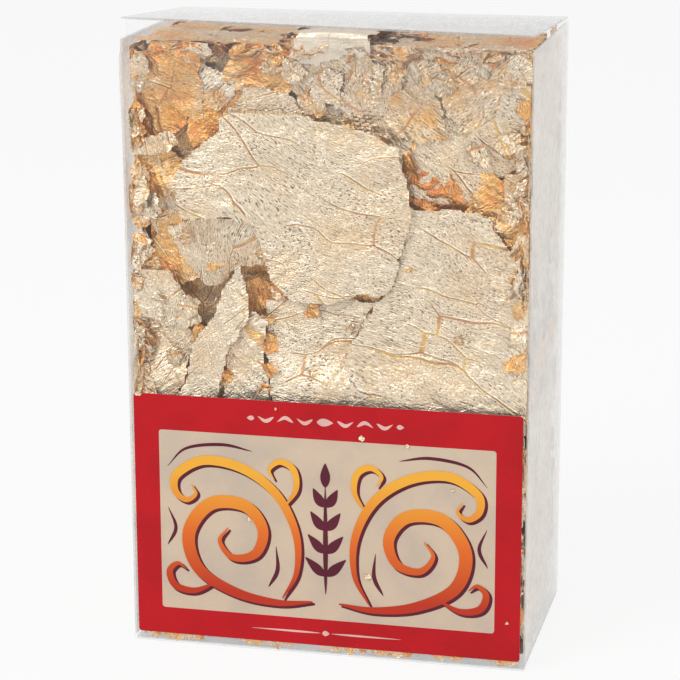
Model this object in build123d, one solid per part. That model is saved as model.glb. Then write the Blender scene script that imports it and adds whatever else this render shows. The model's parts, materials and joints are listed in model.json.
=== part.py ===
from build123d import *
import math
import os

os.makedirs("parts", exist_ok=True)

# Clear tuck-end box packed with crumpled gold leaf. Millimetres, +Z up, the front faces -Y, and the
# origin is the middle of the base. The box sizes are its outside with the lid pressed home.
box_width = 65.0
box_depth = 36.0
box_height = 100.0
film = 0.3
crease_round = 0.2
rim_round = 0.8
crease_gap = 0.05

# Lid and tuck flap. The lid stands a little open, held up by the leaf.
lid_raise = 3.5
lid_inset = 0.2
tuck_depth = 13.0
tuck_inset = 1.0
tuck_round = 4.0
tuck_lean = 3.5
tuck_play = 0.1

# Dust flaps, under the lid and over the bottom lid
left_dust_reach = 26.3
right_dust_reach = 24.5
dust_round = 2.0
dust_front_clear = 2.3
dust_back_clear = 1.1
dust_taper_share = 0.39

# Glued seam inside the back panel
seam_width = 9.0
seam_slant = 3.0
glue = 0.05
glue_width = 5.0

# Label on the front panel: a clear sticker with a red border and a cream window printed on it
label_side_margin = 0.8
label_height = 40.8
label_low = 1.6
label_thickness = 0.08
label_round = 0.5
ink = 0.04
border_side = 4.15
border_low = 4.5
border_top = 5.9

# Crumpled leaf: thickness, height of its creases, mean spacing of them, and its clearances
leaf = 0.12
leaf_wave = 0.5
leaf_pitch = 3.0
leaf_clear = 0.25
wall_clear = 0.3
crown_leg = 8.0
crown_dip = 0.5
inner_pitch = 5.0

# How many leaves lie on each other against each wall, how many of the front ones stay out of the tuck
# flaps' way, and how many sheets fill the middle
front_layers = 4
low_front_layers = 2
back_layers = 3
side_layers = 2
inner_sheets = 7

# Spacing and height of the creases across a leaf, as shares of the mean spacing and of the full wave
spacing_shares = (0.8, 1.3, 0.9, 1.1, 0.7, 1.2)
height_shares = (0.0, 1.0, 0.3, 0.85, 0.1, 0.7, 0.2, 1.0, 0.05, 0.6)

# Ridge of the crown: places from front to back, and how far each dips below the lid
crown_place_shares = (0.0, 0.12, 0.27, 0.45, 0.62, 0.81, 1.0)
crown_dip_shares = (0.1, 0.9, 0.15, 1.0, 0.2, 0.8, 0.3)

# Torn upper edge of a sheet inside, as shares of its width and of the depth of the tears
torn_edge_shares = ((0.06, 0.5), (0.22, 0.0), (0.37, 0.8), (0.55, 0.2), (0.71, 1.0), (0.86, 0.1), (0.94, 0.7))
torn_drop = 3.0

# Outlines of the front leaves, as shares of the box's width from its left edge and of its height
centre_shares = (
    (0.254, 0.882), (0.526, 0.862), (0.668, 0.827), (0.689, 0.736), (0.655, 0.645), (0.611, 0.605),
    (0.480, 0.595), (0.423, 0.598), (0.363, 0.630), (0.337, 0.715), (0.155, 0.715), (0.148, 0.787),
    (0.238, 0.841),
)
lower_right_shares = (
    (0.697, 0.731), (0.786, 0.734), (0.823, 0.730), (0.900, 0.718), (0.942, 0.665), (0.994, 0.598),
    (0.992, 0.395), (0.554, 0.395), (0.572, 0.521), (0.618, 0.583), (0.662, 0.640),
)
spear_shares = ((0.282, 0.632), (0.305, 0.575), (0.208, 0.400), (0.097, 0.400), (0.189, 0.534))
strip_shares = ((0.282, 0.574), (0.348, 0.544), (0.335, 0.400), (0.226, 0.400))
lower_middle_shares = (
    (0.355, 0.577), (0.468, 0.595), (0.611, 0.587), (0.566, 0.513), (0.554, 0.400), (0.366, 0.400),
    (0.348, 0.511),
)
left_tongue_shares = ((0.015, 0.617), (0.094, 0.625), (0.183, 0.551), (0.122, 0.533), (0.020, 0.564))
lower_left_shares = ((0.014, 0.564), (0.115, 0.531), (0.163, 0.520), (0.097, 0.400), (0.015, 0.400))
middle_left_shares = (
    (0.100, 0.692), (0.191, 0.711), (0.349, 0.704), (0.363, 0.640), (0.272, 0.636), (0.203, 0.604),
    (0.112, 0.667),
)
upper_tongue_shares = ((0.017, 0.838), (0.103, 0.851), (0.142, 0.833), (0.037, 0.810))
left_strip_shares = (
    (0.023, 0.805), (0.089, 0.798), (0.134, 0.717), (0.165, 0.636), (0.086, 0.650), (0.035, 0.731),
)
right_edge_shares = ((0.928, 0.796), (0.988, 0.790), (0.988, 0.712), (0.963, 0.661), (0.928, 0.702))
upper_left_shares = (
    (0.060, 0.939), (0.117, 0.953), (0.248, 0.933), (0.262, 0.907), (0.218, 0.865), (0.168, 0.846),
    (0.114, 0.886),
)
upper_middle_shares = ((0.300, 0.919), (0.411, 0.911), (0.468, 0.866), (0.346, 0.873), (0.275, 0.884))
upper_right_shares = (
    (0.422, 0.984), (0.594, 0.990), (0.985, 0.990), (0.988, 0.799), (0.938, 0.812), (0.838, 0.757),
    (0.762, 0.752), (0.697, 0.772), (0.668, 0.827), (0.557, 0.853), (0.483, 0.876), (0.422, 0.927),
)
behind_label_left_shares = (
    (0.030, 0.385), (0.310, 0.380), (0.450, 0.350), (0.410, 0.200), (0.180, 0.150), (0.030, 0.180),
)
behind_label_right_shares = (
    (0.430, 0.375), (0.770, 0.365), (0.970, 0.380), (0.950, 0.160), (0.690, 0.145), (0.460, 0.200),
)

# Each leaf against a wall: name, layer counted from the wall, direction of its creases, outline
front_leaf_shares = (
    ("front_leaf_centre", 0, 24, centre_shares),
    ("front_leaf_spear", 0, -28, spear_shares),
    ("front_leaf_behind_label_left", 0, 40, behind_label_left_shares),
    ("front_leaf_behind_label_right", 1, 110, behind_label_right_shares),
    ("front_leaf_lower_right", 1, 118, lower_right_shares),
    ("front_leaf_strip", 1, 8, strip_shares),
    ("front_leaf_left_tongue", 1, 60, left_tongue_shares),
    ("front_leaf_upper_tongue", 1, 75, upper_tongue_shares),
    ("front_leaf_lower_middle", 2, 70, lower_middle_shares),
    ("front_leaf_lower_left", 2, -35, lower_left_shares),
    ("front_leaf_middle_left", 2, 55, middle_left_shares),
    ("front_leaf_right_edge", 2, 15, right_edge_shares),
    ("front_leaf_upper_middle", 2, 80, upper_middle_shares),
    ("front_leaf_upper_left", 3, -50, upper_left_shares),
    ("front_leaf_left_strip", 3, 20, left_strip_shares),
    ("front_leaf_upper_right", 3, 5, upper_right_shares),
)

# Against the back, seen from behind, as shares of the width and height
back_leaf_shares = (
    ("back_leaf_upper_left", 0, 30, (
        (0.05, 0.95), (0.38, 0.97), (0.47, 0.80), (0.40, 0.62), (0.18, 0.66), (0.04, 0.74))),
    ("back_leaf_upper_right", 1, 105, (
        (0.44, 0.96), (0.80, 0.97), (0.97, 0.90), (0.95, 0.64), (0.62, 0.58), (0.42, 0.70))),
    ("back_leaf_middle_left", 1, -20, (
        (0.03, 0.68), (0.30, 0.64), (0.38, 0.52), (0.30, 0.36), (0.10, 0.33), (0.03, 0.45))),
    ("back_leaf_middle_right", 0, 65, (
        (0.46, 0.60), (0.88, 0.63), (0.97, 0.48), (0.80, 0.31), (0.52, 0.34), (0.40, 0.47))),
    ("back_leaf_lower_left", 0, 80, (
        (0.04, 0.34), (0.28, 0.33), (0.48, 0.28), (0.46, 0.06), (0.16, 0.03), (0.04, 0.12))),
    ("back_leaf_lower_right", 2, 10, (
        (0.50, 0.36), (0.90, 0.34), (0.97, 0.20), (0.93, 0.03), (0.60, 0.03), (0.44, 0.14))),
)

# Against the sides, as shares of the depth and height
left_leaf_shares = (
    ("left_leaf_upper", 0, 35, (
        (0.16, 0.96), (0.80, 0.97), (0.88, 0.80), (0.70, 0.62), (0.22, 0.66), (0.16, 0.82))),
    ("left_leaf_middle", 1, -30, (
        (0.16, 0.70), (0.78, 0.68), (0.88, 0.50), (0.60, 0.34), (0.20, 0.38))),
    ("left_leaf_lower", 0, 70, (
        (0.18, 0.42), (0.70, 0.36), (0.88, 0.22), (0.80, 0.04), (0.24, 0.05))),
)
right_leaf_shares = (
    ("right_leaf_upper", 0, -35, (
        (0.17, 0.97), (0.86, 0.95), (0.86, 0.74), (0.58, 0.68), (0.18, 0.78))),
    ("right_leaf_middle", 1, 30, (
        (0.17, 0.82), (0.64, 0.72), (0.88, 0.60), (0.78, 0.36), (0.30, 0.34), (0.16, 0.52))),
    ("right_leaf_lower", 0, 100, (
        (0.18, 0.38), (0.62, 0.40), (0.87, 0.26), (0.84, 0.05), (0.20, 0.03))),
)

# Under the lid and over the bottom, as shares of the width and depth
top_leaf_shares = (
    ("top_leaf_left", 25, (
        (0.03, 0.12), (0.36, 0.12), (0.34, 0.50), (0.38, 0.86), (0.12, 0.88), (0.03, 0.60))),
    ("top_leaf_right", 70, (
        (0.66, 0.13), (0.96, 0.12), (0.97, 0.52), (0.90, 0.87), (0.66, 0.84), (0.70, 0.46))),
)
bottom_leaf_shares = (
    ("bottom_leaf_left", -20, (
        (0.04, 0.14), (0.50, 0.13), (0.54, 0.40), (0.42, 0.87), (0.10, 0.86), (0.03, 0.55))),
    ("bottom_leaf_right", 60, (
        (0.60, 0.13), (0.96, 0.14), (0.97, 0.60), (0.88, 0.88), (0.52, 0.85), (0.62, 0.42))),
)

half_width = box_width / 2
half_depth = box_depth / 2
front_inside = -half_depth + film
back_inside = half_depth - film
side_inside = half_width - film


def slab(x_low, x_high, y_low, y_high, z_low, z_high):
    middle = Pos((x_low + x_high) / 2, (y_low + y_high) / 2, (z_low + z_high) / 2)
    return middle * Box(x_high - x_low, y_high - y_low, z_high - z_low)


# Heights of the folds: the lid swings on the back panel's edge, the dust flaps on the side panels' edges
lid_axis = Vector(0, half_depth - film / 2, box_height - film / 2)
back_panel_top = lid_axis.Z - film / 2 - crease_gap
dust_top = box_height - film - crease_gap
dust_axis_height = dust_top - film / 2
side_panel_top = dust_axis_height - film / 2 - crease_gap
dust_axis_side = half_width - film / 2


def upside_down(shape):
    """The same piece at the other end of the box."""
    return shape.mirror(Plane.XY.offset(box_height / 2))


# Upright panels
def upright_panel(z_low, z_high, outside):
    """A full-width panel whose two outer upright edges are rounded folds; outside is -1 or 1."""
    panel = slab(-half_width, half_width, -half_depth, front_inside, z_low, z_high)
    folds = panel.edges().filter_by(Axis.Z).group_by(Axis.Y)[0]
    panel = fillet(folds, min(crease_round, film * 0.9))
    return panel if outside < 0 else panel.mirror(Plane.XZ)


def front_panel():
    panel = upright_panel(0, box_height, -1)
    corner = slab(0, rim_round, -box_depth, box_depth, 0, rim_round)
    corner -= Rot(90, 0, 0) * Cylinder(rim_round, 2 * box_depth)
    at_right = Pos(half_width - rim_round, 0, box_height - rim_round) * corner
    return panel - at_right - at_right.mirror(Plane.YZ)


def side_panel(side):
    outer = side * half_width
    inner = side * side_inside
    return slab(
        min(outer, inner), max(outer, inner), front_inside, back_inside,
        box_height - side_panel_top, side_panel_top,
    )


def glue_flap():
    flap_back = back_inside - glue
    low = box_height - back_panel_top + seam_slant
    high = back_panel_top - seam_slant
    root = -side_inside
    tip = root + seam_width
    outline = Polyline(
        (root, low), (tip, low + seam_slant), (tip, high - seam_slant), (root, high), close=True
    )
    return Plane.XZ.offset(-flap_back).location * extrude(make_face(outline), film)


def glue_line():
    middle = -side_inside + seam_width / 2
    return slab(
        middle - glue_width / 2, middle + glue_width / 2, back_inside - glue, back_inside,
        box_height - back_panel_top + 3 * seam_slant, back_panel_top - 3 * seam_slant,
    )


# Label
label_front = -half_depth - label_thickness


def label_sheet(low_inset, side_inset, top_inset, thickness, back_face):
    """A rounded sheet inset from the label's edges, standing in front of back_face."""
    width = box_width - 2 * (label_side_margin + side_inset)
    height = label_height - low_inset - top_inset
    face = RectangleRounded(width, height, label_round)
    middle = label_low + low_inset + height / 2
    place = Plane(origin=(0, back_face, middle), x_dir=(1, 0, 0), z_dir=(0, -1, 0))
    return place.location * extrude(face, thickness)


def label_film():
    return label_sheet(0, 0, 0, label_thickness, -half_depth)


def label_window_print():
    return label_sheet(border_low, border_side, border_top, ink, label_front)


def label_border_print():
    return label_sheet(0, 0, 0, ink, label_front) - label_window_print()


# Lid, tuck flap and dust flaps, made for the top; the bottom ones are the same pieces mirrored
class EndFolds:
    """Where a lid and its tuck flap lie when the lid stands raise degrees above its closed place."""

    def __init__(self, raise_angle):
        slope = math.radians(raise_angle)
        lean = math.radians(tuck_lean)
        self.raise_angle = raise_angle
        self.along = Vector(0, -math.cos(slope), math.sin(slope))
        self.under = Vector(0, -math.sin(slope), -math.cos(slope))
        self.down_flap = Vector(0, math.sin(lean), -math.cos(lean))
        self.out_of_flap = Vector(0, -math.cos(lean), -math.sin(lean))
        # The flap's outer face clears the front panel by tuck_play at the rim, or at the fold if lower
        start = lid_axis + self.under * (film / 2) + self.out_of_flap * film
        wanted = front_inside + tuck_play
        lean_slope = math.tan(lean)
        if raise_angle > 0:
            reach = start.Y + (start.Z - box_height) * lean_slope - wanted
            self.length = reach / (-self.along.Y - self.along.Z * lean_slope)
        else:
            self.length = start.Y - wanted
        self.tuck_axis = lid_axis + self.along * self.length + self.under * (film / 2)


top_folds = EndFolds(lid_raise)
bottom_folds = EndFolds(0)


def lid(folds):
    """A plate with a rounded fold at the back panel and a rounded fold over the tuck flap."""
    section = Pos(folds.length / 2, 0) * Rectangle(folds.length, film)
    section += Circle(film / 2)
    fold = Circle(film) & Pos(film / 2, film / 2) * Rectangle(film, film)
    section += Pos(folds.length, -film / 2) * fold
    width = box_width - 2 * lid_inset
    place = Plane(origin=lid_axis, x_dir=folds.along, z_dir=(1, 0, 0))
    if place.y_dir.Z < 0:
        place = Plane(origin=lid_axis, x_dir=folds.along, z_dir=(-1, 0, 0))
    return place.location * extrude(section, width / 2, both=True)


def tuck_flap(folds):
    width = box_width - 2 * tuck_inset
    reach = tuck_depth - crease_gap
    low = Pos(0, -crease_gap - reach / 2)
    face = low * Rectangle(width, reach)
    tips = face.vertices().group_by(Axis.Y)[0]
    face = fillet(tips, tuck_round)
    place = Plane(origin=folds.tuck_axis, x_dir=(1, 0, 0), z_dir=folds.out_of_flap)
    return place.location * extrude(face, film)


def dust_flap(reach, side):
    """A tapered flap folded in from a side panel; side is -1 for the left and 1 for the right."""
    front = front_inside + dust_front_clear
    back = back_inside - dust_back_clear
    outline = Polyline(
        (0, front), (reach, front), (reach, back - dust_taper_share * reach), (0, back), close=True
    )
    face = make_face(outline)
    tips = face.vertices().group_by(Axis.X)[-1]
    plate = extrude(fillet(tips, dust_round), film / 2, both=True)
    fold = Pos(0, (front + back) / 2, 0) * Rot(90, 0, 0) * Cylinder(film / 2, back - front)
    flap = plate + fold
    flap = flap if side < 0 else flap.mirror(Plane.YZ)
    return Pos(side * dust_axis_side, 0, dust_axis_height) * flap


# Leaf
def creased_strip(length, width, wave, pitch):
    """A crumpled sheet in the XY plane, its creases along Y, rising from 0 to wave."""
    line = []
    place = -length / 2
    step = 0
    while place < length / 2 + pitch:
        line.append((place, wave * height_shares[step % len(height_shares)]))
        place += pitch * spacing_shares[step % len(spacing_shares)]
        step += 1
    above = [(x, z + leaf) for x, z in reversed(line)]
    section = make_face(Polyline(*line, *above, close=True))
    return Plane.XZ.location * extrude(section, width / 2, both=True)


def torn_sheet(outline, crease_angle, zone, wave, pitch):
    """A crumpled sheet cut to a torn outline and to the zone (x low, x high, y low, y high)."""
    x_low = min(x for x, y in outline)
    x_high = max(x for x, y in outline)
    y_low = min(y for x, y in outline)
    y_high = max(y for x, y in outline)
    span = math.hypot(x_high - x_low, y_high - y_low) + 2 * pitch
    middle = Pos((x_low + x_high) / 2, (y_low + y_high) / 2, 0)
    strip = middle * Rot(0, 0, crease_angle) * creased_strip(span, span, wave, pitch)
    cutter = extrude(make_face(Polyline(*outline, close=True)), wave + 2 * leaf)
    cutter &= slab(zone[0], zone[1], zone[2], zone[3], 0, wave + 2 * leaf)
    return strip & (Pos(0, 0, -leaf / 2) * cutter)


layer_depth = leaf_wave + leaf + leaf_clear
slot_depth = leaf_wave + leaf
high_limit = dust_top - film - wall_clear
low_limit = box_height - high_limit
side_limit = side_inside - wall_clear
tuck_tip_top = top_folds.tuck_axis.Z - tuck_depth - wall_clear
tuck_tip_low = tuck_depth + film + 2 * wall_clear
front_pack = front_inside + wall_clear + front_layers * layer_depth
back_pack = back_inside - glue - film - wall_clear - back_layers * layer_depth
side_pack = side_limit - side_layers * layer_depth
inner_top = high_limit - layer_depth
inner_low = low_limit + layer_depth


def front_leaf(layer, crease_angle, shares):
    outline = [((x - 0.5) * box_width, z * box_height) for x, z in shares]
    beside_flaps = layer < low_front_layers
    low = tuck_tip_low if beside_flaps else low_limit
    high = tuck_tip_top if beside_flaps else high_limit
    zone = (-side_limit, side_limit, low, high)
    back_face = front_inside + wall_clear + layer * layer_depth + slot_depth
    place = Plane(origin=(0, back_face, 0), x_dir=(1, 0, 0), z_dir=(0, -1, 0))
    return place.location * torn_sheet(outline, crease_angle, zone, leaf_wave, leaf_pitch)


def back_leaf(layer, crease_angle, shares):
    outline = [((x - 0.5) * box_width, z * box_height) for x, z in shares]
    zone = (-side_limit, side_limit, inner_low, inner_top)
    front_face = back_pack + (back_layers - layer) * layer_depth - slot_depth
    place = Plane(origin=(0, front_face, 0), x_dir=(-1, 0, 0), z_dir=(0, 1, 0))
    return place.location * torn_sheet(outline, crease_angle, zone, leaf_wave, leaf_pitch)


def side_leaf(side, layer, crease_angle, shares):
    outline = [((y - 0.5) * box_depth, z * box_height) for y, z in shares]
    zone = (front_pack, back_pack - leaf_clear, inner_low, inner_top)
    reach = side_limit - layer * layer_depth
    low_face = -reach if side < 0 else reach - slot_depth
    place = Plane(origin=(low_face, 0, 0), x_dir=(0, 1, 0), z_dir=(1, 0, 0))
    return place.location * torn_sheet(outline, crease_angle, zone, leaf_wave, leaf_pitch)


def flat_leaf(low_face, crease_angle, shares):
    outline = [((x - 0.5) * box_width, (y - 0.5) * box_depth) for x, y in shares]
    zone = (-side_limit, side_limit, front_pack, back_pack)
    sheet = torn_sheet(outline, crease_angle, zone, leaf_wave, leaf_pitch)
    return Pos(0, 0, low_face) * sheet


def inner_leaf(index):
    """One of the sheets that fill the middle, pleated along Z, torn at its top."""
    slot = (back_pack - front_pack) / inner_sheets
    wave = slot - leaf - leaf_clear
    reach = side_pack - leaf_clear
    torn_edge = torn_edge_shares
    if index % 2 == 0:
        torn_edge = [(1 - x, drop) for x, drop in reversed(torn_edge_shares)]
    edge = [((x - 0.5) * 2 * reach, inner_top - torn_drop * drop) for x, drop in torn_edge]
    outline = [(-reach, inner_low), (-reach, inner_top - torn_drop), *edge]
    outline += [(reach, inner_top - torn_drop), (reach, inner_low)]
    zone = (-reach, reach, inner_low, inner_top)
    back_face = front_pack + index * slot + wave + leaf
    place = Plane(origin=(0, back_face, 0), x_dir=(1, 0, 0), z_dir=(0, -1, 0))
    return place.location * torn_sheet(outline, 0, zone, wave, inner_pitch)


def top_leaf_crown():
    """Leaf that rises in front and lies under the raised lid, between the two dust flaps."""
    left = -dust_axis_side + left_dust_reach + wall_clear
    right = dust_axis_side - right_dust_reach - wall_clear
    front = front_inside + wall_clear + low_front_layers * layer_depth
    back = back_pack
    under_lid = lid_axis + top_folds.under * (film / 2 + wall_clear)
    slope = math.tan(math.radians(lid_raise))

    def roof(y):
        return under_lid.Z + (under_lid.Y - y) * slope

    places = [front + share * (back - front) for share in crown_place_shares]
    ridge = [(y, roof(y) - crown_dip * dip) for y, dip in zip(places, crown_dip_shares)]
    line = [(front, high_limit - crown_leg), *ridge, (back, inner_top + leaf_clear)]
    inside = [(y + leaf, z - leaf) for y, z in reversed(line[:-1])]
    inside = [(back - leaf, inner_top + leaf_clear)] + [(min(y, back - leaf), z) for y, z in inside]
    section = make_face(Polyline(*line, *inside, close=True))
    place = Plane(origin=(left, 0, 0), x_dir=(0, 1, 0), z_dir=(1, 0, 0))
    return place.location * extrude(section, right - left)


pieces = {
    "front_panel": front_panel(),
    "back_panel": upright_panel(box_height - back_panel_top, back_panel_top, 1),
    "left_side_panel": side_panel(-1),
    "right_side_panel": side_panel(1),
    "glue_flap": glue_flap(),
    "glue_line": glue_line(),
    "label_film": label_film(),
    "label_border_print": label_border_print(),
    "label_window_print": label_window_print(),
    "top_lid": lid(top_folds),
    "top_tuck_flap": tuck_flap(top_folds),
    "top_left_dust_flap": dust_flap(left_dust_reach, -1),
    "top_right_dust_flap": dust_flap(right_dust_reach, 1),
    "bottom_lid": upside_down(lid(bottom_folds)),
    "bottom_tuck_flap": upside_down(tuck_flap(bottom_folds)),
    "bottom_left_dust_flap": upside_down(dust_flap(left_dust_reach, -1)),
    "bottom_right_dust_flap": upside_down(dust_flap(right_dust_reach, 1)),
    "top_leaf_crown": top_leaf_crown(),
}
for name, layer, crease_angle, shares in front_leaf_shares:
    pieces[name] = front_leaf(layer, crease_angle, shares)
for name, layer, crease_angle, shares in back_leaf_shares:
    pieces[name] = back_leaf(layer, crease_angle, shares)
for name, layer, crease_angle, shares in left_leaf_shares:
    pieces[name] = side_leaf(-1, layer, crease_angle, shares)
for name, layer, crease_angle, shares in right_leaf_shares:
    pieces[name] = side_leaf(1, layer, crease_angle, shares)
for name, crease_angle, shares in top_leaf_shares:
    pieces[name] = flat_leaf(high_limit - slot_depth, crease_angle, shares)
for name, crease_angle, shares in bottom_leaf_shares:
    pieces[name] = flat_leaf(low_limit, crease_angle, shares)
for index in range(inner_sheets):
    pieces["inner_leaf_" + str(index + 1)] = inner_leaf(index)

for name, shape in pieces.items():
    export_step(shape, "parts/" + name + ".step")

# Where the folds are, for whoever writes down the joints
print("lid axis", lid_axis, "bottom lid axis height", box_height - lid_axis.Z)
print("top tuck axis", top_folds.tuck_axis, "bottom tuck axis", bottom_folds.tuck_axis)
print("dust flap axes at x", dust_axis_side, "z", dust_axis_height, box_height - dust_axis_height)
print("pieces", len(pieces))
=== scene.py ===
import bpy
import json
import math
import random
import numpy as np
from mathutils import Matrix, Vector
from mathutils.bvhtree import BVHTree

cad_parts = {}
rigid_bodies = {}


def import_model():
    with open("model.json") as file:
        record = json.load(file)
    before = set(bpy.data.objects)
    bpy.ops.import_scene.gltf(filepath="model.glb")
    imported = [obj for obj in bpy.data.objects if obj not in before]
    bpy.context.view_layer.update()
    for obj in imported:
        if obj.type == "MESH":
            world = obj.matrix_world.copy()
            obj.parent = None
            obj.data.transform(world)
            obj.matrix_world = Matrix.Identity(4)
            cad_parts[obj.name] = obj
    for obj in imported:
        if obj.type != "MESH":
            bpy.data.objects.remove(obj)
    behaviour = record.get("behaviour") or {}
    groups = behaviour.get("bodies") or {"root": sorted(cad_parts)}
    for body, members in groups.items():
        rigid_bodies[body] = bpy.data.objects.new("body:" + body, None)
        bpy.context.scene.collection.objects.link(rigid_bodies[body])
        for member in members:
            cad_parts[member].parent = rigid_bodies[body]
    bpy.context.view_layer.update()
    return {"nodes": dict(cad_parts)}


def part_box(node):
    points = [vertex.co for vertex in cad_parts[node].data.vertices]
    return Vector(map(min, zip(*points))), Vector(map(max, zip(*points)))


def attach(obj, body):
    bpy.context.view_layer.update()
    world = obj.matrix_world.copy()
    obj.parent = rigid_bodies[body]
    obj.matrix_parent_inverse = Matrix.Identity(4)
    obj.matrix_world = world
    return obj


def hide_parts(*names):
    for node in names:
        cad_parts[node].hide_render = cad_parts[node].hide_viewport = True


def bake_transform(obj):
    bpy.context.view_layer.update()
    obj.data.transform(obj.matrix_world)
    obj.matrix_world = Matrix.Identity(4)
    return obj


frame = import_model()
MM = 0.001

# --------------------------------------------------------------------------------------------------
# Camera: a long lens that looks a little down on the box from the right of its front.
bpy.ops.object.select_all(action="DESELECT")
bpy.ops.object.camera_add(
    location=(0.08842, -0.38416, 0.15227),
    rotation=[math.radians(turn) for turn in (75.22, 0.184, 13.162)],
)
camera = bpy.context.object
camera.data.sensor_width = 36
camera.data.lens = 131.35
camera.data.clip_start = 0.01
camera.data.clip_end = 20
bpy.context.scene.camera = camera


# --------------------------------------------------------------------------------------------------
# Leaf against the walls: torn sheets of beaten metal, a few micrometres thick, crushed by hand and
# packed loose, so that the outer ones lie flat against the film. Each stands for its own solid.
class Signal:
    """An output of a material's nodes. Arithmetic on it adds Math nodes."""

    def __init__(self, tree, socket):
        self.tree = tree
        self.socket = socket

    def node(self, kind, settings={}, inputs={}, output=0):
        """A node of that kind: its settings or ramp stops, then its sockets' values or links."""
        node = self.tree.nodes.new("ShaderNode" + kind)
        for setting, value in settings.items():
            if setting == "stops":
                ramp = node.color_ramp
                ramp.elements.remove(ramp.elements[1])
                ramp.elements[0].position, ramp.elements[0].color = value[0][0], (*value[0][1], 1)
                for place, colour in value[1:]:
                    ramp.elements.new(place).color = (*colour, 1)
            else:
                setattr(node, setting, value)
        for socket, value in inputs.items():
            if isinstance(value, Signal):
                self.tree.links.new(value.socket, node.inputs[socket])
            else:
                node.inputs[socket].default_value = value
        return Signal(self.tree, node.outputs[output])

    def math(self, operation, first, second):
        return self.node("Math", {"operation": operation}, {0: first, 1: second})

    def __add__(self, other):
        return self.math("ADD", self, other)

    def __radd__(self, other):
        return self.math("ADD", other, self)

    def __sub__(self, other):
        return self.math("SUBTRACT", self, other)

    def __rsub__(self, other):
        return self.math("SUBTRACT", other, self)

    def __mul__(self, other):
        return self.math("MULTIPLY", self, other)

    def __rmul__(self, other):
        return self.math("MULTIPLY", other, self)

    def __pow__(self, other):
        return self.math("POWER", self, other)

    def above(self, low, high):
        """0 below low, 1 above high, smooth between; low over high turns it round."""
        return self.node(
            "MapRange", {"interpolation_type": "SMOOTHSTEP"},
            {"Value": self, "From Min": low, "From Max": high},
        )

    def tint(self, colour, other):
        """A colour that goes to other as this signal goes to 1."""
        return self.node("Mix", {"data_type": "RGBA"}, {0: self, 6: colour, 7: other}, output=2)


def start_finish(name, constants):
    """A new material, and a signal on its Principled shader from which its nodes are made."""
    material = bpy.data.materials.new(name)
    material.use_nodes = True
    shader = material.node_tree.nodes["Principled BSDF"]
    for socket, value in constants.items():
        shader.inputs[socket].default_value = value
    return material, Signal(material.node_tree, shader.outputs[0])


def feed(surface, **signals):
    """Feeds the shader's sockets, their names written with underscores."""
    for name, signal in signals.items():
        socket = surface.socket.node.inputs[name.replace("_", " ")]
        surface.tree.links.new(signal.socket, socket)


def stretched(surface, source, scale):
    """A vector with each of its parts multiplied."""
    return surface.node("VectorMath", {"operation": "MULTIPLY"}, {0: source, 1: scale})


def place_in_mm(surface):
    """Where a point lies on its object, in millimetres."""
    return stretched(surface, surface.node("TexCoord", output="Object"), (1 / MM, 1 / MM, 1 / MM))


def noise(surface, place, scale, detail):
    return surface.node("TexNoise", {}, {"Vector": place, "Scale": scale, "Detail": detail})


# Colours of the leaf from pale to its darkest folds; the warmth that picks them is partly its own
# tone and partly painted shade in folds and gaps. Then its painted dark reflections, its painted
# glints and the painted shade in its creases
LEAF_STOPS = (
    (0.0, (0.80, 0.665, 0.485)), (0.25, (0.80, 0.585, 0.36)), (0.45, (0.86, 0.47, 0.145)),
    (0.68, (0.78, 0.29, 0.075)), (1.0, (0.34, 0.10, 0.045)),
)
PAINTED_DARK_REFLECTION, GLINT = (0.13, 0.08, 0.045, 1), (1.0, 0.93, 0.80, 1)
DEEP_CREASE_SHADE, PALE_CREASE_SHADE = (0.56, 0.24, 0.07, 1), (0.70, 0.45, 0.14, 1)
# Cells in a millimetre, along the grain and across it: for the long creases, then for the others
LONG_CELLS, CROSS_CELLS = (0.04, 0.15, 1), (0.13, 0.055, 1)


def crease_field(surface, grain, wander, scale, shift):
    """Distance to the nearest of many long lines along the grain, in cells of that scale."""
    cells = stretched(surface, grain, scale)
    bent = surface.node(
        "VectorMath", {"operation": "MULTIPLY_ADD"}, {0: wander, 1: (0.35, 0.6, 0), 2: cells}
    )
    moved = surface.node("VectorMath", {"operation": "ADD"}, {0: bent, 1: shift})
    return surface.node(
        "TexVoronoi", {"feature": "DISTANCE_TO_EDGE"}, {"Vector": moved, "Scale": 1.0}
    )


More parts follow.
